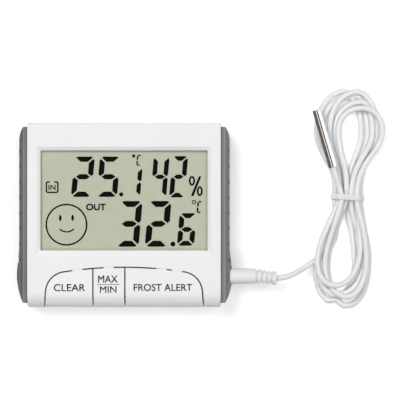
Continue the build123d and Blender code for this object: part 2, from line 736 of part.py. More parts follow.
# ---------------------------------------------------------------- fasteners
def screw_group(label, places, head_r, head_z, head_h, shank_r, shank_top):
    """Identical pan-head screws, driven from behind, with a cross recess in each head."""
    with BuildPart() as screws:
        with BuildSketch(Plane.XY.offset(head_z)):
            with Locations(*places):
                Circle(head_r)
        extrude(amount=head_h)
        with BuildSketch(Plane.XY.offset(head_z + head_h)):
            with Locations(*places):
                Circle(shank_r)
        extrude(amount=shank_top - head_z - head_h)
        with BuildSketch(Plane.XY.offset(head_z)):
            with Locations(*places):
                Rectangle(1.3 * head_r, 0.3 * head_r)
                Rectangle(0.3 * head_r, 1.3 * head_r)
        extrude(amount=0.5 * head_h, mode=Mode.SUBTRACT)
    screws.part.label = label
    return screws


corners = [(sx * CORNER_X, sy * CORNER_Y) for sx in (-1, 1) for sy in (-1, 1)]
housing_screws = screw_group("housing_screws", corners, 2.1, 0.9, 1.6, 1.0, 13.5)
board_screws = screw_group("board_screws", BOARD_SCREWS, 1.9, BOARD_Z - 1.2, 1.2, 0.85, 16.6)

# ---------------------------------------------------------------- probe plug
PLUG_AXIS = Axis((0, PLUG_Y, PLUG_Z), (1, 0, 0))
PLUG_PLANE = Plane(origin=(0, PLUG_Y, PLUG_Z))

with BuildPart() as plug_tip:
    with BuildSketch(PLUG_PLANE):
        with BuildLine():
            Polyline(
                (PLUG_TIP_X, 0),
                (PLUG_TIP_X, 0.5),
                (PLUG_TIP_X + 0.8, PLUG_R),
                (PLUG_TIP_X + 1.7, 0.85),
                (PLUG_TIP_X + 2.3, PLUG_R),
                (PLUG_TIP_X + 2.6, PLUG_R),
                (PLUG_TIP_X + 2.6, 0),
                close=True,
            )
        make_face()
    revolve(axis=PLUG_AXIS)
plug_tip.part.label = "plug_tip"

with BuildPart() as plug_insulator:
    with BuildSketch(Plane.YZ.offset(PLUG_TIP_X + 2.6)):
        with Locations((PLUG_Y, PLUG_Z)):
            Circle(PLUG_R - 0.05)
    extrude(amount=0.5)
plug_insulator.part.label = "plug_insulator"

with BuildPart() as plug_sleeve:
    with BuildSketch(Plane.YZ.offset(PLUG_TIP_X + 3.1)):
        with Locations((PLUG_Y, PLUG_Z)):
            Circle(PLUG_R)
    extrude(amount=BOOT_X + 3.5 - PLUG_TIP_X - 3.1)
plug_sleeve.part.label = "plug_sleeve"

BOOT_END_X = BOOT_X + BOOT_L
TILT_DIR = (cos(radians(RIB_TILT)), -sin(radians(RIB_TILT)), 0)
RIB_PLANE = Plane(origin=(BOOT_END_X, PLUG_Y, PLUG_Z), x_dir=TILT_DIR, z_dir=(0, 0, 1))
RIBS = [(0.6, 2.4, 3.15), (2.9, 4.6, 3.0), (5.1, 6.8, 2.85), (7.3, RIB_L, 3.05)]
with BuildPart() as plug_boot:
    with BuildSketch(PLUG_PLANE):
        with BuildLine():
            Polyline(
                (BOOT_X, PLUG_R + 0.02),
                (BOOT_X, BOOT_R - 0.3),
                (BOOT_X + 0.3, BOOT_R),
                (BOOT_END_X - 1.6, BOOT_R - 0.2),
                (BOOT_END_X, BOOT_R - 0.4),
                (BOOT_END_X, 0),
                (BOOT_X + 3.55, 0),
                (BOOT_X + 3.55, PLUG_R + 0.02),
                close=True,
            )
        make_face()
    revolve(axis=PLUG_AXIS)
    with BuildSketch(RIB_PLANE):
        with BuildLine():
            Polyline((-0.8, 0), (-0.8, 2.4), (RIB_L - 0.5, 2.1), (RIB_L - 0.5, 0), close=True)
        make_face()
        for rib_start, rib_end, rib_r in RIBS:
            with Locations(((rib_start + rib_end) / 2, rib_r / 2)):
                Rectangle(rib_end - rib_start, rib_r)
    revolve(axis=Axis((BOOT_END_X, PLUG_Y, PLUG_Z), TILT_DIR))
plug_boot.part.label = "plug_boot"


# ---------------------------------------------------------------- cord, hank, tie and probe
def cord_tube(label, route):
    """A plain tube along straight runs joined by tangent arcs."""
    radii = rounded_route(route)
    with BuildPart() as tube:
        with BuildLine() as path:
            FilletPolyline(*route, radius=radii)
        with BuildSketch(Plane(origin=path.line @ 0, z_dir=path.line % 0)):
            Circle(CORD_R)
        sweep(path=path.line)
    length = sum(edge.length for edge in path.edges())
    expected = pi * CORD_R**2 * length
    print(label, "bend radii", [round(r, 1) for r in radii], "length", round(length, 1))
    print(label, "volume", round(tube.part.volume, 1), "section times length", round(expected, 1))
    tube.part.label = label
    return tube


cord_lead = cord_tube("cord_lead", LEAD_ROUTE)
cord_tail = cord_tube("cord_tail", TAIL_ROUTE)

# the folded hank: two drop-shaped loops with their open middles, narrowed to a neck under the tie
with BuildPart() as cord_hank:
    for loop in (UPPER_LOOP, LOWER_LOOP):
        with BuildSketch(Plane.XY):
            for centre, radius in loop:
                with Locations(centre):
                    Circle(radius)
            with Locations((TIE_X, TIE_Y)):
                Rectangle(*NECK)
            make_hull()
        extrude(amount=HANK_T)
    for middle in (UPPER_MIDDLE, LOWER_MIDDLE):
        with BuildSketch(Plane.XY):
            for centre, radius in middle:
                with Locations(centre):
                    Circle(radius)
            make_hull()
        extrude(amount=HANK_T, mode=Mode.SUBTRACT)
    with Locations((TIE_X, TIE_Y, HANK_T / 2)):
        Box(40.0, 4.4, HANK_T + 2.0, mode=Mode.SUBTRACT)
        Box(12.5, 5.0, 4.4)
cord_hank.part.label = "cord_hank"

TIE_PLANE = Plane(origin=(TIE_X, TIE_Y, 0), x_dir=(1, -0.06, 0), z_dir=(0.06, 1, 0))
with BuildPart() as hank_tie:
    with BuildSketch(TIE_PLANE):
        with Locations((0, -HANK_T / 2)):
            RectangleRounded(TIE_SPAN, HANK_T, 2.4)
            RectangleRounded(TIE_SPAN - 2 * TIE_T, HANK_T - 2 * TIE_T, 0.3, mode=Mode.SUBTRACT)
    extrude(amount=TIE_W / 2, both=True)
hank_tie.part.label = "hank_tie"

PROBE_PLANE = Plane(origin=PROBE_OUT, z_dir=PROBE_DIR)
with BuildPart() as probe_sleeve:
    with BuildSketch(PROBE_PLANE):
        Circle(PROBE_R)
    extrude(amount=PROBE_L)
    fillet(probe_sleeve.edges().filter_by(GeomType.CIRCLE), 0.25)
    with BuildSketch(PROBE_PLANE):
        Circle(PROBE_R - 0.3)
    extrude(amount=PROBE_L - 0.8, mode=Mode.SUBTRACT)
probe_sleeve.part.label = "probe_sleeve"

with BuildPart() as probe_resin:
    with BuildSketch(PROBE_PLANE.offset(0.1)):
        Circle(PROBE_R - 0.32)
    extrude(amount=21.9)
probe_resin.part.label = "probe_resin"

with BuildPart() as probe_thermistor:
    with BuildSketch(PROBE_PLANE.offset(22.1)):
        Circle(1.1)
    extrude(amount=3.0)
    fillet(probe_thermistor.edges().filter_by(GeomType.CIRCLE), 0.6)
probe_thermistor.part.label = "probe_thermistor"

# ---------------------------------------------------------------- write every piece
pieces = [
    front_housing, rear_housing, left_side_grip, right_side_grip, lcd_holder, circuit_board, chip_blob,
    quartz_crystal, chip_parts, humidity_sensor, indoor_thermistor, piezo_buzzer, probe_socket,
    battery_cell, spring_contact, cap_contact, battery_cover, table_stand, unit_key, unit_switch,
    unit_plunger, switch_bodies, housing_screws, board_screws, plug_tip, plug_insulator, plug_sleeve,
    plug_boot, cord_lead, cord_tail, cord_hank, hank_tie, probe_sleeve, probe_resin, probe_thermistor,
]
pieces += flaps + plungers + display
os.makedirs("parts", exist_ok=True)
for piece in pieces:
    export_step(piece.part, f"parts/{piece.part.label}.step")
print(len(pieces), "pieces written")
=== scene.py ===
"""Maximum minimum thermometer with a plug-in probe: the looks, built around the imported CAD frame."""

import math

import bmesh
import bpy
import numpy as np
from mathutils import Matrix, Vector


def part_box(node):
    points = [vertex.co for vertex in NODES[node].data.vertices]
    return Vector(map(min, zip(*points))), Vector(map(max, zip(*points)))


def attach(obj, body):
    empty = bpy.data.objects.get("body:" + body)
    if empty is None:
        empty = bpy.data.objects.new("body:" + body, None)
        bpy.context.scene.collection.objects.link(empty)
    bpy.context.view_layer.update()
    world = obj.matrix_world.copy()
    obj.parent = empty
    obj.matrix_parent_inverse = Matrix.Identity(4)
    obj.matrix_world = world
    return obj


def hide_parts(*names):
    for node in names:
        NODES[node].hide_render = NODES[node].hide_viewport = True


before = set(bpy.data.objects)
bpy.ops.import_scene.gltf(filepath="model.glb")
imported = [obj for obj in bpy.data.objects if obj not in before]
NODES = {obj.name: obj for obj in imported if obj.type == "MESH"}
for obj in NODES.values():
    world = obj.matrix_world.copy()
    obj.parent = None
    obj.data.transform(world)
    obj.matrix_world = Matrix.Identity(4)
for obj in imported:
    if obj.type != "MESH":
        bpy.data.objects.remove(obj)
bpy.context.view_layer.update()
MM = 0.001

# ------------------------------------------------------------------ camera, straight above with a long lens
VIEW_WIDTH = 0.1788
VIEW_CENTRE = (0.0340, 0.0068)
LENS_MM = 200.0
SENSOR_MM = 36.0
CLIP_START = 0.01
CLIP_END = 20.0
FACE_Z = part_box("front_housing")[1].z


def make_camera():
    """A camera that looks straight down at the case's face."""
    data = bpy.data.cameras.new("camera")
    data.lens = LENS_MM
    data.sensor_width = SENSOR_MM
    distance = VIEW_WIDTH * LENS_MM / SENSOR_MM
    camera = bpy.data.objects.new("camera", data)
    camera.location = (VIEW_CENTRE[0], VIEW_CENTRE[1], FACE_Z + distance)
    data.clip_start = CLIP_START
    data.clip_end = CLIP_END
    bpy.context.scene.collection.objects.link(camera)
    bpy.context.scene.camera = camera


make_camera()

# ------------------------------------------------------------------ cord and tie, in millimetres
CORD_R = 1.3
CORD_D = 2 * CORD_R
TURNS = 5

# the cord's two ends, as in the part's own source, and its way from the first one under the hank to the neck
LEAD_ROUTE = [(68.55, -28.4, 10.5), (73.0, -28.1, 9.7), (77.5, -26.2, 7.4), (81.4, -23.9, 4.9)]
UNDER_ROUTE = [
    (85.0, -21.8, 2.4), (89.2, -18.9, 1.4), (93.0, -15.0, 1.3), (95.6, -10.0, 1.3), (96.0, -3.0, 1.3),
]
TAIL_ROUTE = [(97.3, 12.3, 6.5), (96.3, 15.2, 7.4), (95.25, 18.3, 8.1), (94.3, 21.6, 8.1)]
TAIL_X = TAIL_ROUTE[-1][0]

# the probe's steel tube, which lies on the hank from the cord's end
PROBE_R = 2.0
PROBE_LENGTH = 27.0
PROBE_START = Vector(TAIL_ROUTE[-1])
PROBE_END = PROBE_START + PROBE_LENGTH * Vector((-7.5, 25.9, 0.0)).normalized()
PROBE_LINE = np.array([PROBE_START.lerp(PROBE_END, step / 20) for step in range(1, 21)])

# the tie's thickness, its width along the hank, and how much it leans across it
TIE_T = 0.8
TIE_W = 2.7
TIE_TILT = -0.067

# where each turn, lowest first, passes the neck: its place across, and the strands that lie under it
NECK_Y = 8.0
NECK_UP = ((96.2, 0), (98.7, 0), (97.3, 1), (99.7, 1), (100.9, 2))
NECK_DOWN = ((101.2, 0), (103.7, 0), (106.0, 0), (102.3, 1), (104.8, 1))
TAIL_NECK = (98.1, 2)

# the upper loop of each turn: its left side, crown and right side, and the strands that lie under it
UPPER_LEVEL = 39.0
UPPER_LEFT = (87.3, 89.1, 92.8, 95.3, 96.8)
CROWN = ((99.3, 56.3), (104.0, 54.4), (105.4, 56.2), (107.0, 51.6), (107.6, 48.8))
UPPER_RIGHT = (107.4, 110.4, 114.5, 112.4, 116.8)
UPPER_ORDER = (0, 1, 2, 3, 4)

# the lower loop of each turn: its sides, where they are widest, its foot, and the strands that lie under it
LOWER_RIGHT = (104.4, 106.9, 110.6, 108.9, 109.6)
RIGHT_LEVEL = (-24.0, -15.0, -24.0, -20.0, -21.0)
FOOT = ((93.2, -38.9), (95.4, -32.3), (101.2, -41.4), (95.9, -36.5), (100.6, -37.4))
LOWER_LEFT = (86.6, 87.0, 92.0, 87.2, 90.6)
LEFT_LEVEL = (-26.0, -22.0, -24.0, -23.0, -23.0)
LOWER_ORDER = (0, 4, 1, 2, 3)

# how far each side has moved from the neck towards its widest place: by height above, by share of depth below
UP_SIDE = ((14.5, 0.02), (20.0, 0.16), (24.5, 0.44), (29.0, 0.72), (34.0, 0.94))
DOWN_SIDE = ((34.5, 0.97), (30.5, 0.81), (25.5, 0.49), (20.5, 0.24), (15.0, 0.07))
LOW_SIDE = ((0.13, 0.10), (0.30, 0.32), (0.48, 0.56), (0.66, 0.79), (0.84, 0.95))

# the angles of the points on a quarter of a loop's end, and how far one strand raises the next
SWEEP = (22.0, 44.0, 66.0)
LAYER_RISE = 0.9 * CORD_D


def layer_z(layer):
    """Height of a strand that has that many strands under it."""
    return CORD_R + LAYER_RISE * layer


def bow(centre, level, tip, side):
    """One quarter of a loop's rounded end, from its side at a level towards its tip."""
    points = []
    for angle in SWEEP:
        turn = math.radians(angle)
        points.append((centre + (side - centre) * math.cos(turn), level + (tip - level) * math.sin(turn)))
    return points


def between(start, end, share):
    """The point a share of the way from one point to another."""
    return tuple(a + share * (b - a) for a, b in zip(start, end))


def low_side(neck, wide, wide_level):
    """A side of the lower loop, from the neck out to its widest place."""
    points = []
    for depth, share in LOW_SIDE:
        x, z = between(neck, wide, share)
        points.append((x, NECK_Y + depth * (wide_level - NECK_Y), z))
    return points


def turn_points(turn):
    """One turn of the hank: up the left, over the upper loop, down the right and round the lower loop."""
    up = (NECK_UP[turn][0], layer_z(NECK_UP[turn][1]))
    down = (NECK_DOWN[turn][0], layer_z(NECK_DOWN[turn][1]))
    after = NECK_UP[turn + 1] if turn + 1 < TURNS else TAIL_NECK
    back = (after[0], layer_z(after[1]))
    high, low = layer_z(UPPER_ORDER[turn]), layer_z(LOWER_ORDER[turn])
    left, right = (UPPER_LEFT[turn], high), (UPPER_RIGHT[turn], high)
    low_left, low_right = (LOWER_LEFT[turn], low), (LOWER_RIGHT[turn], low)
    crown_x, crown_y = CROWN[turn]
    foot_x, foot_y = FOOT[turn]
    points = [(up[0], NECK_Y, up[1])]
    for y, share in UP_SIDE:
        x, z = between(up, left, share)
        points.append((x, y, z))
    upper = [(left[0], UPPER_LEVEL)] + bow(crown_x, UPPER_LEVEL, crown_y, left[0]) + [(crown_x, crown_y)]
    upper += list(reversed(bow(crown_x, UPPER_LEVEL, crown_y, right[0]))) + [(right[0], UPPER_LEVEL)]
    points += [(x, y, high) for x, y in upper]
    for y, share in DOWN_SIDE:
        x, z = between(down, right, share)
        points.append((x, y, z))
    points.append((down[0], NECK_Y, down[1]))
    points += low_side(down, low_right, RIGHT_LEVEL[turn])
    lower = [(low_right[0], RIGHT_LEVEL[turn])] + bow(foot_x, RIGHT_LEVEL[turn], foot_y, low_right[0])
    lower.append((foot_x, foot_y))
    lower += list(reversed(bow(foot_x, LEFT_LEVEL[turn], foot_y, low_left[0])))
    lower.append((low_left[0], LEFT_LEVEL[turn]))
    points += [(x, y, low) for x, y in lower]
    points += list(reversed(low_side(back, low_left, LEFT_LEVEL[turn])))
    return points


def sample_rows(count, per_point):
    """Rows that turn control points into evenly spread points of the quadratic curve."""
    rows = []
    for i in range(1, count - 1):
        for step in range(per_point):
            share = (step + 0.5) / per_point
            row = np.zeros(count)
            row[i - 1] = 0.5 * (1 - share) ** 2
            row[i] = 0.5 + share * (1 - share)
            row[i + 1] = 0.5 * share**2
            rows.append(row)
    return np.array(rows)


# the settling of the hank: its steps, and what each one does to the control points
SETTLE_STEPS = 420
SINKING_STEPS = 300
SINK = 0.10
LATE_SINK = 0.02
SMOOTHING = 0.30
PULL_BACK = 0.10
PUSH = 1.4
SIDEWAYS = 0.6

# which sampled points are tested for touching: points per control point, least count between a pair along the
# cord, their reach seen from above, and the points of the tail that aren't tested against the probe
SAMPLES = 4
APART = 8
REACH = 1.7 * CORD_D
TAIL_SAMPLES = 40

# room kept between strands and round the probe, and the least distance that a push is worked out from
SLACK = 0.04
PROBE_SLACK = 0.05
LEAST_GAP = 0.05

# how far along the hank the strands rise over the tie, and by how many times its thickness
TIE_REACH = 6.0
TIE_RISE = 1.1


def push_apart(line, one, two):
    """How far the strands that overlap push each sampled point, and how many pushes it gets."""
    force = np.zeros_like(line)
    touch = np.zeros(len(line))
    gap = line[one] - line[two]
    far = np.maximum(np.linalg.norm(gap, axis=1), LEAST_GAP)
    depth = np.maximum(CORD_D + SLACK - far, 0.0)
    push = (0.5 * depth / far)[:, None] * gap
    push[:, :2] *= SIDEWAYS
    np.add.at(force, one, push)
    np.add.at(force, two, -push)
    np.add.at(touch, one, depth > 0)
    np.add.at(touch, two, depth > 0)
    return force, touch


def probe_depth(line):
    """How deep the probe presses into each sampled point, the cord's own tail left out."""
    clear = line[:-TAIL_SAMPLES, None, :] - PROBE_LINE[None, :, :]
    away = np.maximum(np.linalg.norm(clear, axis=2), LEAST_GAP)
    return np.maximum(CORD_R + PROBE_R + PROBE_SLACK - away, 0.0).max(axis=1)


def lowest(pos):
    """The least height of each control point: on the floor, or on the tie where that passes under."""
    under_tie = TIE_T * np.exp(-(((pos[:, 1] - NECK_Y) / TIE_REACH) ** 2)) * (pos[:, 0] > TAIL_X)
    return CORD_R + SLACK + TIE_RISE * under_tie


def settle(points, fixed_start, fixed_end):
    """Let the stacked turns sink to the floor and onto each other, as a limp cord does."""
    goal = np.array(points, float)
    pos = goal.copy()
    free = np.ones(len(pos))
    free[:fixed_start] = 0.0
    free[len(pos) - fixed_end:] = 0.0
    rows = sample_rows(len(pos), SAMPLES)
    start = rows @ pos
    spread = start[:, None, :2] - start[None, :, :2]
    near = np.sum(spread**2, axis=2) < REACH**2
    one, two = np.nonzero(np.triu(near, APART))
    weight = rows.T @ np.ones(len(rows))
    for step in range(SETTLE_STEPS):
        pos[:, 2] -= free * (SINK if step < SINKING_STEPS else LATE_SINK)
        bend = np.zeros_like(pos)
        bend[1:-1] = 0.5 * (pos[:-2] + pos[2:]) - pos[1:-1]
        pos[:, 2] += SMOOTHING * free * bend[:, 2]
        pos[:, :2] += (PULL_BACK * free)[:, None] * (goal[:, :2] - pos[:, :2])
        line = rows @ pos
        force, touch = push_apart(line, one, two)
        under = probe_depth(line)
        force[:-TAIL_SAMPLES, 2] -= under
        touch[:-TAIL_SAMPLES] += under > 0
        shift = (rows.T @ (force / np.maximum(touch, 1.0)[:, None] ** 0.5)) / weight[:, None]
        pos += PUSH * free[:, None] * shift
        pos[:, 2] = np.maximum(pos[:, 2], lowest(pos))
    return pos


def cord_points():
    """Every control point of the cord, from the plug boot to the probe, in millimetres."""
    hank = [point for turn in range(TURNS) for point in turn_points(turn)]
    hank.append((TAIL_NECK[0], NECK_Y, layer_z(TAIL_NECK[1])))
    points = LEAD_ROUTE + UNDER_ROUTE + hank + TAIL_ROUTE
    return settle(points, len(LEAD_ROUTE), len(TAIL_ROUTE))


def make_cord(points):
    """One smooth open NURBS curve of round section through the whole route."""
    data = bpy.data.curves.new("cord", "CURVE")
    data.dimensions = "3D"
    data.bevel_depth = 1.0
    data.bevel_resolution = 5
    data.resolution_u = 6
    data.use_fill_caps = True
    spline = data.splines.new("NURBS")
    spline.points.add(len(points) - 1)
    for control, point in zip(spline.points, points):
        control.co = (point[0] * MM, point[1] * MM, point[2] * MM, 1.0)
        control.radius = CORD_R * MM
    spline.order_u = 3
    spline.use_endpoint_u = True
    cord = bpy.data.objects.new("cord", data)
    bpy.context.scene.collection.objects.link(cord)
    return cord


cord_route = cord_points()
cord = make_cord(cord_route)
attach(cord, "probe_lead")
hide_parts("cord_lead", "cord_hank", "cord_tail")


def convex(points):
    """The points of a set's outer hull, in order round it."""
    ordered = sorted(points)
    sides = []
    for row in (ordered, ordered[::-1]):
        chain = []
        for x, z in row:
            while len(chain) > 1:
                (x1, z1), (x2, z2) = chain[-2:]
                if (x2 - x1) * (z - z1) > (z2 - z1) * (x - x1):
                    break
                chain.pop()
            chain.append((x, z))
        sides += chain[:-1]
    return sides


# the tie's clearance over the strands and over the floor, and how finely it is made
TIE_GAP = 0.03
TIE_LOWEST = 0.02
TIE_SAMPLES = 6
TIE_SPOTS = 96
TIE_AROUND = 14
STRAND_CORNERS = 32


def neck_outline(route):
    """Corners of the shape that a band drawn tight round every strand at the neck takes."""
    line = sample_rows(len(route), TIE_SAMPLES) @ np.array(route)
    rim = []
    for here, there in zip(line[:-1], line[1:]):
        if (here[1] - NECK_Y) * (there[1] - NECK_Y) <= 0 and here[0] > TAIL_X:
            for step in range(STRAND_CORNERS):
                angle = 2 * math.pi * step / STRAND_CORNERS
                x = here[0] + (CORD_R + TIE_GAP) * math.cos(angle)
                rim.append((x, here[2] + (CORD_R + TIE_GAP) * math.sin(angle)))
    return np.array(convex(rim))


def even_spots(outline):
    """Evenly spread spots round an outline, and the unit direction along it at each."""
    gaps = np.linalg.norm(np.roll(outline, -1, axis=0) - outline, axis=1)
    places = np.concatenate([[0.0], np.cumsum(gaps)])
    closed = np.vstack([outline, outline[:1]])
    spots = np.linspace(0.0, places[-1], TIE_SPOTS + 1)[:-1]
    x, z = np.interp(spots, places, closed[:, 0]), np.interp(spots, places, closed[:, 1])
    run_x, run_z = np.roll(x, -2) - np.roll(x, 2), np.roll(z, -2) - np.roll(z, 2)
    size = np.hypot(run_x, run_z)
    return x, z, run_x / size, run_z / size


def make_tie(route):
    """The rubber band round the neck, of oval section, as one closed mesh."""
    ring_x, ring_z, along_x, along_z = even_spots(neck_outline(route))
    centre = ring_x.mean()
    verts, faces = [], []
    for x, z, dx, dz in zip(ring_x, ring_z, along_x, along_z):
        for step in range(TIE_AROUND):
            angle = 2 * math.pi * step / TIE_AROUND
            out = 0.5 * TIE_T * (1 + math.sin(angle))
            y = NECK_Y + TIE_TILT * (x - centre) + 0.5 * TIE_W * math.cos(angle)
            verts.append(((x + dz * out) * MM, y * MM, max(z - dx * out, TIE_LOWEST) * MM))
    for i in range(TIE_SPOTS):
        for j in range(TIE_AROUND):
            here, there = i * TIE_AROUND, (i + 1) % TIE_SPOTS * TIE_AROUND
            after = (j + 1) % TIE_AROUND
            faces.append((here + j, here + after, there + after, there + j))
    mesh = bpy.data.meshes.new("tie_band")
    mesh.from_pydata(verts, [], faces)
    mesh.update()
    for polygon in mesh.polygons:
        polygon.use_smooth = True
    band = bpy.data.objects.new("tie_band", mesh)
    bpy.context.scene.collection.objects.link(band)
    return band


tie = make_tie(cord_route)
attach(tie, "probe_lead")
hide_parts("hank_tie")


# ------------------------------------------------------------------ materials
def new_material(name):
    """An empty node material with its Principled shader and output."""
    material = bpy.data.materials.new(name)
    material.use_nodes = True
    tree = material.node_tree
    return material, tree, tree.nodes["Principled BSDF"]


def noise(tree, scale, detail=3.0, roughness=0.55, stretch=None):
    """A noise texture on object coordinates, drawn out along one way if asked."""
    place = tree.nodes.new("ShaderNodeTexCoord")
    texture = tree.nodes.new("ShaderNodeTexNoise")
    texture.inputs["Scale"].default_value = scale
    texture.inputs["Detail"].default_value = detail
    texture.inputs["Roughness"].default_value = roughness
    if stretch is None:
        tree.links.new(place.outputs["Object"], texture.inputs["Vector"])
        return texture
    mapping = tree.nodes.new("ShaderNodeMapping")
    mapping.inputs["Scale"].default_value = stretch
    tree.links.new(place.outputs["Object"], mapping.inputs["Vector"])
    tree.links.new(mapping.outputs["Vector"], texture.inputs["Vector"])
    return texture


def ramp(tree, source, low, high, low_at=0.3, high_at=0.7):
    """A two-colour ramp driven by a texture's factor."""
    node = tree.nodes.new("ShaderNodeValToRGB")
    node.color_ramp.elements[0].position = low_at
    node.color_ramp.elements[1].position = high_at
    node.color_ramp.elements[0].color = (*low, 1.0)
    node.color_ramp.elements[1].color = (*high, 1.0)
    tree.links.new(source, node.inputs["Fac"])
    return node


def add_bump(tree, shader, source, strength, distance):
    """Fine relief from a texture's factor."""
    bump = tree.nodes.new("ShaderNodeBump")
    bump.inputs["Strength"].default_value = strength
    bump.inputs["Distance"].default_value = distance
    tree.links.new(source, bump.inputs["Height"])
    tree.links.new(bump.outputs["Normal"], shader.inputs["Normal"])


DRIFT_SCALE = 60.0
GLOSS_DRIFT = 0.04
GRAIN_DEPTH = 0.00004
LINE_DEPTH = 0.00002


def moulded(name, low, high, roughness, grain_scale, grain, ior=1.46):
    """Moulded plastic: faint colour drift, uneven gloss and a fine spark-eroded grain."""
    material, tree, shader = new_material(name)
    drift = noise(tree, DRIFT_SCALE, 4.0)
    tint = ramp(tree, drift.outputs["Fac"], low, high)
    tree.links.new(tint.outputs["Color"], shader.inputs["Base Color"])
    gloss = ramp(tree, drift.outputs["Fac"], (roughness - GLOSS_DRIFT,) * 3, (roughness + GLOSS_DRIFT,) * 3)
    tree.links.new(gloss.outputs["Color"], shader.inputs["Roughness"])
    shader.inputs["IOR"].default_value = ior
    texture = noise(tree, grain_scale, 2.0, 0.5)
    add_bump(tree, shader, texture.outputs["Fac"], grain, GRAIN_DEPTH)
    return material


def metal(name, low, high, roughness, scale, stretch):
    """Metal with fine lines drawn along one way."""
    material, tree, shader = new_material(name)
    texture = noise(tree, scale, 3.0, 0.5, stretch)
    tint = ramp(tree, texture.outputs["Fac"], low, high)
    tree.links.new(tint.outputs["Color"], shader.inputs["Base Color"])
    gloss = ramp(tree, texture.outputs["Fac"], (roughness * 0.8,) * 3, (roughness * 1.25,) * 3)
    tree.links.new(gloss.outputs["Color"], shader.inputs["Roughness"])
    shader.inputs["Metallic"].default_value = 1.0
    add_bump(tree, shader, texture.outputs["Fac"], 0.04, LINE_DEPTH)
    return material


def clear_window(name):
    """A thin clear window: mostly see-through, with a sharp reflection that grows at grazing angles."""
    material = bpy.data.materials.new(name)
    material.use_nodes = True
    tree = material.node_tree
    tree.nodes.remove(tree.nodes["Principled BSDF"])
    through = tree.nodes.new("ShaderNodeBsdfTransparent")
    through.inputs["Color"].default_value = (0.985, 0.99, 0.985, 1.0)
    gloss = tree.nodes.new("ShaderNodeBsdfGlossy")
    gloss.inputs["Roughness"].default_value = 0.06
    edge = tree.nodes.new("ShaderNodeFresnel")
    edge.inputs["IOR"].default_value = 1.3
    both = tree.nodes.new("ShaderNodeMixShader")
    side = tree.nodes.new("ShaderNodeNewGeometry")
    front_only = tree.nodes.new("ShaderNodeMath")
    front_only.operation = "SUBTRACT"
    front_only.use_clamp = True
    tree.links.new(edge.outputs["Fac"], front_only.inputs[0])
    tree.links.new(side.outputs["Backfacing"], front_only.inputs[1])
    tree.links.new(front_only.outputs["Value"], both.inputs["Fac"])
    tree.links.new(through.outputs["BSDF"], both.inputs[1])
    tree.links.new(gloss.outputs["BSDF"], both.inputs[2])
    tree.links.new(both.outputs["Shader"], tree.nodes["Material Output"].inputs["Surface"])
    return material


def lcd_background(name):
    """The display's grey-green film, with the faint mottle of its polariser."""
    material, tree, shader = new_material(name)
    mottle = noise(tree, 220.0, 5.0, 0.6)
    tint = ramp(tree, mottle.outputs["Fac"], (0.475, 0.495, 0.380), (0.505, 0.525, 0.405))
    tree.links.new(tint.outputs["Color"], shader.inputs["Base Color"])
    shader.inputs["Roughness"].default_value = 0.6
    add_bump(tree, shader, mottle.outputs["Fac"], 0.05, LINE_DEPTH)
    return material


# the grips' painted shading (painted shade near the case, on the flank and at the outer edge, and a painted
# highlight along the crest), as shares of the way from their inner to their outer x and factors on the colour
GRIP_INNER_X = 0.0435
GRIP_OUTER_X = 0.0485
GRIP_SHADES = (
    (0.0, 0.42), (0.10, 0.86), (0.28, 1.0), (0.36, 1.42),
    (0.42, 0.66), (0.55, 0.86), (0.75, 1.08), (0.97, 0.62),
)

# the painted shadows of the grips' notches, as dark marks along the outer edge, in metres
NOTCH_PITCH = 0.007
NOTCH_TOP_Y = 0.0289
NOTCH_MIDDLE_Y = 0.0044
NOTCH_HALF_SPAN = 0.0272
NOTCH_X = 0.0471
NOTCH_HALF_WIDTH = 0.0004
NOTCH_WAVE = 0.80
NOTCH_SHADE = (0.22, 0.22, 0.22, 1.0)


def math_node(tree, operation, first, second=0.0):
    """One sum on two values, each a socket or a number; returns its result."""
    node = tree.nodes.new("ShaderNodeMath")
    node.operation = operation
    for slot, value in ((0, first), (1, second)):
        if isinstance(value, float):
            node.inputs[slot].default_value = value
        else:
            tree.links.new(value, node.inputs[slot])
    return node.outputs["Value"]


def within(tree, value, middle, reach):
    """One where a value lies within reach of a middle value, and zero elsewhere."""
    result = math_node(tree, "COMPARE", value, middle)
    result.node.inputs[2].default_value = reach
    return result


def multiplied(tree, colour):
    """A node that multiplies a colour, on A, by another, on B."""
    node = tree.nodes.new("ShaderNodeMix")
    node.data_type = "RGBA"
    node.blend_type = "MULTIPLY"
    tree.links.new(colour, node.inputs["A"])
    return node


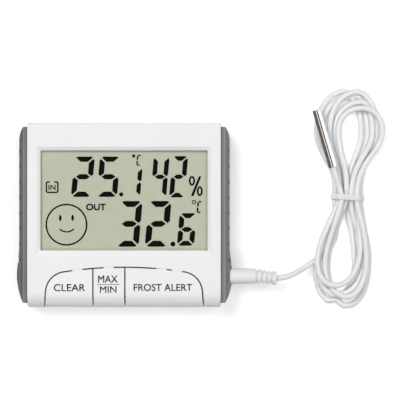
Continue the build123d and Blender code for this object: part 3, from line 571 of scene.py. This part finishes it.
def grip_rubber(name):
    """Soft grey grip: grained, with painted shade on its flank and edges, a painted highlight along the
    crest, and painted shadows of its notches.
    """
    material = moulded(name, (0.165, 0.165, 0.167), (0.20, 0.20, 0.202), 0.38, 3800.0, 0.35)
    tree = material.node_tree
    shader = tree.nodes["Principled BSDF"]
    body = shader.inputs["Base Color"].links[0].from_socket
    place = tree.nodes.new("ShaderNodeTexCoord")
    split = tree.nodes.new("ShaderNodeSeparateXYZ")
    tree.links.new(place.outputs["Object"], split.inputs["Vector"])
    side = math_node(tree, "ABSOLUTE", split.outputs["X"])

    # painted shade and a painted highlight across the grip, by distance from the middle plane
    span = tree.nodes.new("ShaderNodeMapRange")
    span.inputs["From Min"].default_value = GRIP_INNER_X
    span.inputs["From Max"].default_value = GRIP_OUTER_X
    tree.links.new(side, span.inputs["Value"])
    shade = tree.nodes.new("ShaderNodeValToRGB")
    stops = shade.color_ramp.elements
    ends = (GRIP_SHADES[0], GRIP_SHADES[-1])
    for stop, (position, level) in zip(stops, ends):
        stop.position, stop.color = position, (level, level, level, 1.0)
    for position, level in GRIP_SHADES[1:-1]:
        stops.new(position).color = (level, level, level, 1.0)
    tree.links.new(span.outputs["Result"], shade.inputs["Fac"])
    shaded = multiplied(tree, body)
    shaded.inputs["Factor"].default_value = 1.0
    tree.links.new(shade.outputs["Color"], shaded.inputs["B"])

    # painted shadows of the notches: one dark mark per notch along the grip's outer edge
    row = math_node(tree, "MULTIPLY", split.outputs["Y"], 2 * math.pi / NOTCH_PITCH)
    phase = math_node(tree, "SUBTRACT", row, 2 * math.pi * NOTCH_TOP_Y / NOTCH_PITCH)
    dots = math_node(tree, "GREATER_THAN", math_node(tree, "COSINE", phase), NOTCH_WAVE)
    rows = within(tree, split.outputs["Y"], NOTCH_MIDDLE_Y, NOTCH_HALF_SPAN)
    edge = within(tree, side, NOTCH_X, NOTCH_HALF_WIDTH)
    notch = math_node(tree, "MULTIPLY", math_node(tree, "MULTIPLY", dots, rows), edge)
    notch_shadowed = multiplied(tree, shaded.outputs["Result"])
    notch_shadowed.inputs["B"].default_value = NOTCH_SHADE
    tree.links.new(notch, notch_shadowed.inputs["Factor"])
    tree.links.new(notch_shadowed.outputs["Result"], shader.inputs["Base Color"])
    return material


WHITE = moulded("white_abs", (0.81, 0.81, 0.815), (0.83, 0.83, 0.835), 0.42, 5200.0, 0.25)
BUTTON = moulded("button_abs", (0.82, 0.82, 0.825), (0.84, 0.84, 0.845), 0.40, 5200.0, 0.22)
GREY = grip_rubber("grey_grip")
PVC = moulded("cord_pvc", (0.765, 0.772, 0.785), (0.795, 0.802, 0.812), 0.36, 2500.0, 0.10)
TIE = moulded("tie_rubber", (0.76, 0.76, 0.75), (0.80, 0.80, 0.79), 0.5, 3000.0, 0.2)
LENS = clear_window("clear_window")
LCD = lcd_background("lcd_background")
INK = moulded("lcd_black", (0.002, 0.002, 0.002), (0.004, 0.004, 0.003), 0.45, 4000.0, 0.1, 1.12)
PRINT = moulded("grey_print", (0.13, 0.13, 0.135), (0.16, 0.16, 0.165), 0.5, 6000.0, 0.2)
BOARD = moulded("board_green", (0.015, 0.10, 0.035), (0.02, 0.13, 0.045), 0.35, 900.0, 0.3)
BLACK = moulded("black_plastic", (0.012, 0.012, 0.012), (0.022, 0.022, 0.022), 0.45, 3000.0, 0.3)
ZEBRA = moulded("zebra_rubber", (0.45, 0.16, 0.18), (0.5, 0.2, 0.22), 0.6, 3000.0, 0.3)
RESIN = moulded("resin", (0.03, 0.025, 0.02), (0.05, 0.04, 0.03), 0.3, 1500.0, 0.2)
JACKET = moulded("cell_jacket", (0.02, 0.05, 0.20), (0.03, 0.07, 0.25), 0.25, 1200.0, 0.1)
STEEL = metal("steel", (0.50, 0.50, 0.51), (0.66, 0.66, 0.67), 0.28, 900.0, (1.0, 8.0, 1.0))
BRASS = metal("brass", (0.62, 0.47, 0.20), (0.72, 0.56, 0.26), 0.30, 900.0, (1.0, 6.0, 1.0))
PROBE = metal("probe_steel", (0.80, 0.79, 0.77), (0.90, 0.89, 0.88), 0.05, 700.0, (1.0, 1.0, 1.0))

NODE_MATERIAL = {
    WHITE: ("front_housing", "rear_housing", "battery_cover", "table_stand", "lcd_holder", "humidity_sensor"),
    BUTTON: ("clear_button", "max_min_button", "alert_button", "unit_key"),
    GREY: ("left_side_grip", "right_side_grip"),
    LENS: ("display_lens",),
    LCD: ("lcd_polariser", "lcd_front_glass", "lcd_rear_glass", "lcd_reflector"),
    ZEBRA: ("upper_zebra_strip", "lower_zebra_strip"),
    BOARD: ("circuit_board",),
    BLACK: (
        "chip_blob", "chip_resistors_and_capacitors", "indoor_thermistor", "button_switches", "unit_switch",
        "probe_socket", "plug_insulator", "clear_plunger", "max_min_plunger", "alert_plunger", "unit_plunger",
        "probe_thermistor",
    ),
    STEEL: (
        "quartz_crystal", "battery_spring_contact", "battery_cap_contact", "housing_screws", "board_screws",
        "plug_tip", "plug_sleeve",
    ),
    BRASS: ("piezo_buzzer",),
    JACKET: ("aaa_cell",),
    PVC: ("plug_boot",),
    TIE: ("hank_tie",),
    PROBE: ("probe_sleeve",),
    RESIN: ("probe_resin",),
}


def paint(piece, material):
    """Give a piece one material."""
    piece.data.materials.clear()
    piece.data.materials.append(material)


def smooth(piece, angle=32.0):
    """Smooth shading that keeps sharp edges."""
    bpy.ops.object.select_all(action="DESELECT")
    bpy.context.view_layer.objects.active = piece
    piece.select_set(True)
    bpy.ops.object.shade_smooth_by_angle(angle=math.radians(angle))


for material, names in NODE_MATERIAL.items():
    for name in names:
        paint(NODES[name], material)
        smooth(NODES[name])
paint(cord, PVC)


# ------------------------------------------------------------------ flat shapes: display and print
def prism(name, outlines, z_low, z_high, material, body):
    """Closed flat-topped pieces, each a list of corners in millimetres, joined in one object."""
    mesh = bpy.data.meshes.new(name)
    shape = bmesh.new()
    for outline in outlines:
        low = [shape.verts.new((x * MM, y * MM, z_low * MM)) for x, y in outline]
        high = [shape.verts.new((x * MM, y * MM, z_high * MM)) for x, y in outline]
        shape.faces.new(list(reversed(low)))
        shape.faces.new(high)
        for i in range(len(outline)):
            j = (i + 1) % len(outline)
            shape.faces.new((low[i], low[j], high[j], high[i]))
    bmesh.ops.recalc_face_normals(shape, faces=shape.faces)
    shape.to_mesh(mesh)
    shape.free()
    piece = bpy.data.objects.new(name, mesh)
    bpy.context.scene.collection.objects.link(piece)
    paint(piece, material)
    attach(piece, body)
    return piece


def on_ellipse(centre, radius_x, radius_y, angle):
    """The point of an ellipse at an angle in radians."""
    return centre[0] + radius_x * math.cos(angle), centre[1] + radius_y * math.sin(angle)


def ring(centre, radius_x, radius_y, line, start=0.0, end=360.0, steps=48):
    """Corners of an elliptical band, drawn as short quads so that it can be open or closed."""
    quads = []
    for i in range(steps):
        a = math.radians(start + (end - start) * i / steps)
        b = math.radians(start + (end - start) * (i + 1) / steps)
        outer = [on_ellipse(centre, radius_x, radius_y, t) for t in (a, b)]
        inner = [on_ellipse(centre, radius_x - line, radius_y - line, t) for t in (b, a)]
        quads.append(outer + inner)
    return quads


def disc(centre, radius_x, radius_y, steps=32):
    """Corners of a filled ellipse."""
    turn = 2 * math.pi / steps
    return [on_ellipse(centre, radius_x, radius_y, i * turn) for i in range(steps)]


# the lit bars of each digit: a top, b and c right, d bottom, e and f left, g middle
SEGMENTS = {"1": "bc", "2": "abged", "3": "abgcd", "4": "fgbc", "5": "afgcd", "6": "afgedc", "C": "afed"}


def mirrored(outline, width=None, height=None):
    """An outline flipped left to right, bottom to top, or both."""
    return [(x if width is None else width - x, y if height is None else height - y) for x, y in outline]


def digit(text, left, low, width, height, bar, slant=5.0):
    """The mitred bars of one seven-segment digit, leaning right by a slant in degrees."""
    mid = height / 2
    top_bar = [
        (0.33 * bar, height - 0.17 * bar), (0.65 * bar, height), (width - 0.65 * bar, height),
        (width - 0.33 * bar, height - 0.17 * bar), (width - 1.22 * bar, height - 0.96 * bar),
        (1.22 * bar, height - 0.96 * bar),
    ]
    upper_right = [
        (width - 0.22 * bar, height - 0.42 * bar), (width, height - 0.72 * bar), (width, mid + 0.45 * bar),
        (width - 0.36 * bar, mid + 0.12 * bar), (width - bar, mid + 0.62 * bar),
        (width - bar, height - 1.16 * bar),
    ]
    middle = [
        (0.58 * bar, mid), (1.24 * bar, mid + 0.47 * bar), (width - 1.24 * bar, mid + 0.47 * bar),
        (width - 0.58 * bar, mid), (width - 1.24 * bar, mid - 0.47 * bar), (1.24 * bar, mid - 0.47 * bar),
    ]
    bars = {
        "a": top_bar,
        "b": upper_right,
        "c": mirrored(upper_right, height=height),
        "d": mirrored(top_bar, height=height),
        "e": mirrored(upper_right, width, height),
        "f": mirrored(upper_right, width),
        "g": middle,
    }
    lean = math.tan(math.radians(slant))
    return [[(left + x + y * lean, low + y) for x, y in bars[name]] for name in SEGMENTS[text]]


def box_frame(left, low, right, top, radius, line, notch):
    """A rounded frame drawn as a band, with a notch left out of its top side."""
    cx, cy = (left + right) / 2, (low + top) / 2
    path = []
    corners = [(right, top, 0), (left, top, 90), (left, low, 180), (right, low, 270)]
    for x, y, start in corners:
        ox = x - math.copysign(radius, x - cx)
        oy = y - math.copysign(radius, y - cy)
        for step in range(7):
            turn = math.radians(start + 15 * step)
            out_x, out_y = math.cos(turn), math.sin(turn)
            path.append((ox + radius * out_x, oy + radius * out_y, out_x, out_y))
    quads = []
    for a, b in zip(path, path[1:] + path[:1]):
        if a[1] > top - 0.01 and b[1] > top - 0.01:
            quads.append([(a[0], top), (cx + notch, top), (cx + notch, top - line), (a[0], top - line)])
            quads.append([(cx - notch, top), (b[0], top), (b[0], top - line), (cx - notch, top - line)])
            continue
        inner_b = (b[0] - line * b[2], b[1] - line * b[3])
        inner_a = (a[0] - line * a[2], a[1] - line * a[3])
        quads.append([a[:2], b[:2], inner_b, inner_a])
    return quads


LCD_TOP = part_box("lcd_polariser")[1].z / MM
INK_LOW = LCD_TOP + 0.004
INK_HIGH = LCD_TOP + 0.03

# the digits of the three readings and their units: text, left, low, width, height and width of a bar
DIGITS = (
    ("2", -23.9, 8.2, 9.2, 18.06, 2.45),
    ("5", -12.4, 8.2, 9.2, 18.06, 2.45),
    ("1", 0.65, 8.3, 6.5, 13.2, 1.94),
    ("4", 11.7, 7.96, 7.1, 18.5, 2.1),
    ("2", 20.1, 7.96, 7.0, 18.5, 2.15),
    ("3", -3.7, -14.15, 10.2, 20.5, 2.8),
    ("2", 9.17, -14.15, 10.3, 20.5, 2.8),
    ("6", 23.6, -13.7, 7.7, 14.6, 2.3),
    ("C", 5.35, 22.2, 2.1, 4.8, 0.72),
    ("C", 32.4, 0.95, 2.3, 5.4, 0.80),
)
# filled marks: the two decimal points, the upper degree sign and the face's eyes, as a centre and two radii
DOTS = (
    ((-1.32, 9.32), 0.95, 0.95),
    ((21.85, -12.94), 1.1, 1.1),
    ((4.27, 26.55), 0.73, 0.73),
    ((-28.63, -1.27), 0.58, 1.4),
    ((-23.13, -1.18), 0.58, 1.4),
)
# open marks: the lower degree sign and the percent sign's rings, as a centre, two radii and a line's width
RINGS = (
    ((31.3, 5.85), 0.98, 0.98, 0.42),
    ((30.4, 15.4), 1.42, 2.2, 0.86),
    ((33.9, 10.75), 1.36, 2.25, 0.86),
)
PERCENT_STROKE = [(29.9, 8.6), (31.1, 8.6), (34.6, 17.4), (33.5, 17.4)]

# the small frame's left, low, right and top, then the face's outline and the circle that its mouth is part of
IN_FRAME = (-35.2, 9.9, -29.4, 15.2)
FACE_CENTRE = (-25.86, -4.27)
FACE_R = 9.4
MOUTH_CENTRE = (-25.75, -3.0)
MOUTH_R = 4.8


def display_marks():
    """Every lit mark of the display: the readings, their units, the small frame and the face."""
    marks = [PERCENT_STROKE]
    for text, left, low, width, height, bar in DIGITS:
        marks += digit(text, left, low, width, height, bar)
    for centre, radius_x, radius_y in DOTS:
        marks.append(disc(centre, radius_x, radius_y))
    for centre, radius_x, radius_y, line in RINGS:
        marks += ring(centre, radius_x, radius_y, line)
    marks += box_frame(*IN_FRAME, radius=1.0, line=0.66, notch=1.0)
    marks += ring(FACE_CENTRE, FACE_R, FACE_R, 0.72, steps=96)
    marks += ring(MOUTH_CENTRE, MOUTH_R, MOUTH_R, 0.62, start=225.0, end=316.0)
    return marks


prism("lcd_marks", display_marks(), INK_LOW, INK_HIGH, INK, "root")


# the print's half thickness in millimetres, and the longest edge of a letter, as a share of its size
PRINT_LIFT = 0.05
LONG_EDGE = 0.25


def flat_words(name, words):
    """The mesh of some plain words, cut so finely that it can follow a curved surface."""
    curve = bpy.data.curves.new(name, "FONT")
    curve.body = words
    curve.extrude = 0.01
    curve.resolution_u = 4
    text = bpy.data.objects.new(name, curve)
    bpy.context.scene.collection.objects.link(text)
    bpy.context.view_layer.update()
    flat = bpy.data.meshes.new_from_object(text)
    bpy.data.objects.remove(text)
    shape = bmesh.new()
    shape.from_mesh(flat)
    bmesh.ops.triangulate(shape, faces=shape.faces[:])
    long_edges = [edge for edge in shape.edges if edge.calc_length() > LONG_EDGE]
    bmesh.ops.subdivide_edges(shape, edges=long_edges, cuts=2)
    shape.to_mesh(flat)
    shape.free()
    return flat


def lettering(name, words, left, right, low, high, body, material, surface, weight=0.05):
    """Plain generic words as thin raised print, fitted to a box and laid on a surface height z(x, y)."""
    flat = flat_words(name, words)
    xs = [v.co.x for v in flat.vertices]
    ys = [v.co.y for v in flat.vertices]
    strikes = bmesh.new()
    for dx, dy in ((-weight, -weight), (weight, -weight), (-weight, weight), (weight, weight)):
        strike = flat.copy()
        for v in strike.vertices:
            x = left + dx + (right - left) * (v.co.x - min(xs)) / (max(xs) - min(xs))
            y = low + dy + (high - low) * (v.co.y - min(ys)) / (max(ys) - min(ys))
            lift = PRINT_LIFT if v.co.z > 0 else -PRINT_LIFT
            v.co = (x * MM, y * MM, (surface(x, y) + lift) * MM)
        strikes.from_mesh(strike)
        bpy.data.meshes.remove(strike)
    bpy.data.meshes.remove(flat)
    mesh = bpy.data.meshes.new(name)
    strikes.to_mesh(mesh)
    strikes.free()
    piece = bpy.data.objects.new(name, mesh)
    bpy.context.scene.collection.objects.link(piece)
    paint(piece, material)
    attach(piece, body)
    return piece


# the face that the print lies on, and its rolled bottom edge
FACE = FACE_Z / MM
ROLL_R = 7.5
ROLL_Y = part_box("front_housing")[0].y / MM + ROLL_R


def flap_surface(x, y):
    """Height of the flaps' skin: flat, then rolled over towards the bottom edge."""
    drop = min(y - ROLL_Y, 0.0)
    return FACE - ROLL_R + math.sqrt(ROLL_R**2 - drop**2)


def lcd_surface(x, y):
    """Height of the display's film, the same everywhere."""
    return LCD_TOP + 0.01


lettering("lcd_word_in", "IN", -33.9, -30.8, 11.4, 13.55, "root", INK, lcd_surface, 0.06)
lettering("lcd_word_out", "OUT", -16.96, -8.34, 2.26, 5.03, "root", INK, lcd_surface, 0.12)
lettering("print_clear", "CLEAR", -31.36, -17.37, -34.0, -30.8, "clear_button", PRINT, flap_surface)
lettering("print_max", "MAX", -11.5, -2.8, -30.1, -26.95, "max_min_button", PRINT, flap_surface)
lettering("print_min", "MIN", -10.7, -3.35, -34.7, -31.75, "max_min_button", PRINT, flap_surface)
prism(
    "print_bar", [[(-12.0, -31.1), (-1.9, -31.1), (-1.9, -30.82), (-12.0, -30.82)]],
    FACE - PRINT_LIFT, FACE + PRINT_LIFT, PRINT, "max_min_button",
)
lettering("print_alert", "FROST ALERT", 4.4, 30.45, -33.85, -30.75, "alert_button", PRINT, flap_surface)


# ------------------------------------------------------------------ floor, lights and cards
def sheet(name, corners, material):
    """A flat quad through four corners."""
    mesh = bpy.data.meshes.new(name)
    mesh.from_pydata([tuple(c) for c in corners], [], [(0, 1, 2, 3)])
    piece = bpy.data.objects.new(name, mesh)
    bpy.context.scene.collection.objects.link(piece)
    paint(piece, material)
    return piece


# the floor lies a hair under the object, so that its back and the floor don't share a plane
FLOOR_Z = -0.0001
FLOOR_HALF = 6.0
FLOOR_GLOW = 0.25

FLOOR = moulded("floor_white", (0.93, 0.93, 0.93), (0.95, 0.95, 0.95), 0.8, 400.0, 0.02)
floor_shader = FLOOR.node_tree.nodes["Principled BSDF"]
floor_shader.inputs["Emission Color"].default_value = (1.0, 1.0, 1.0, 1.0)
floor_shader.inputs["Emission Strength"].default_value = FLOOR_GLOW
floor_corners = [(x * FLOOR_HALF, y * FLOOR_HALF, FLOOR_Z) for x, y in ((-1, -1), (1, -1), (1, 1), (-1, 1))]
floor = sheet("floor", floor_corners, FLOOR)
floor.visible_glossy = False


def area_light(name, place, target, side, power):
    """A soft square light aimed at a point."""
    data = bpy.data.lights.new(name, "AREA")
    data.shape = "RECTANGLE"
    data.size = side
    data.size_y = side
    data.energy = power
    light = bpy.data.objects.new(name, data)
    light.location = place
    light.rotation_euler = (Vector(target) - Vector(place)).to_track_quat("-Z", "Y").to_euler()
    bpy.context.scene.collection.objects.link(light)
    return light


AIM = (0.03, 0.0, 0.0)
lights = [
    area_light("key", (-0.55, 0.60, 1.30), AIM, 0.8, 14.0),
    area_light("right_fill", (0.70, 0.20, 1.40), AIM, 0.7, 7.0),
    area_light("low_fill", (0.0, -0.75, 1.40), AIM, 0.7, 5.0),
]


def reflection_card(name, corners, colour):
    """A studio card that only shows in reflections."""
    material, _, shader = new_material(name)
    shader.inputs["Base Color"].default_value = (0.0, 0.0, 0.0, 1.0)
    shader.inputs["Emission Color"].default_value = (*colour, 1.0)
    shader.inputs["Emission Strength"].default_value = 1.0
    card = sheet(name, corners, material)
    card.visible_camera = False
    card.visible_diffuse = False
    card.visible_shadow = False
    card.visible_transmission = False
    return card


# each card's two long edges, as a place across and a height in metres, and its colour
CARD_TOP = 1.0
CARD_HALF = 1.2
BROWN = (0.090, 0.060, 0.050)
CARDS = {
    "card_right": ((0.29, CARD_TOP), (1.4, 0.0), (1.25, 1.25, 1.25)),
    "card_right_low": ((1.4, 0.0), (0.9, -1.1), (1.15, 1.15, 1.15)),
    "card_top": ((-0.22, CARD_TOP), (0.29, CARD_TOP), (0.012, 0.010, 0.010)),
    "card_strip": ((-0.74, CARD_TOP), (-0.25, CARD_TOP), (1.15, 1.04, 1.02)),
    "card_left": ((-1.4, 0.0), (-0.74, CARD_TOP), BROWN),
    "card_left_low": ((-0.9, -1.1), (-1.4, 0.0), BROWN),
}
for card_name, ((x1, z1), (x2, z2), card_colour) in CARDS.items():
    card_corners = [(x1, -CARD_HALF, z1), (x2, -CARD_HALF, z2), (x2, CARD_HALF, z2), (x1, CARD_HALF, z1)]
    reflection_card(card_name, card_corners, card_colour)

world = bpy.data.worlds.new("world")
world.use_nodes = True
background = world.node_tree.nodes["Background"]
background.inputs["Color"].default_value = (1.0, 0.985, 0.975, 1.0)
background.inputs["Strength"].default_value = 0.14
bpy.context.scene.world = world
bpy.context.scene.view_settings.view_transform = "Standard"
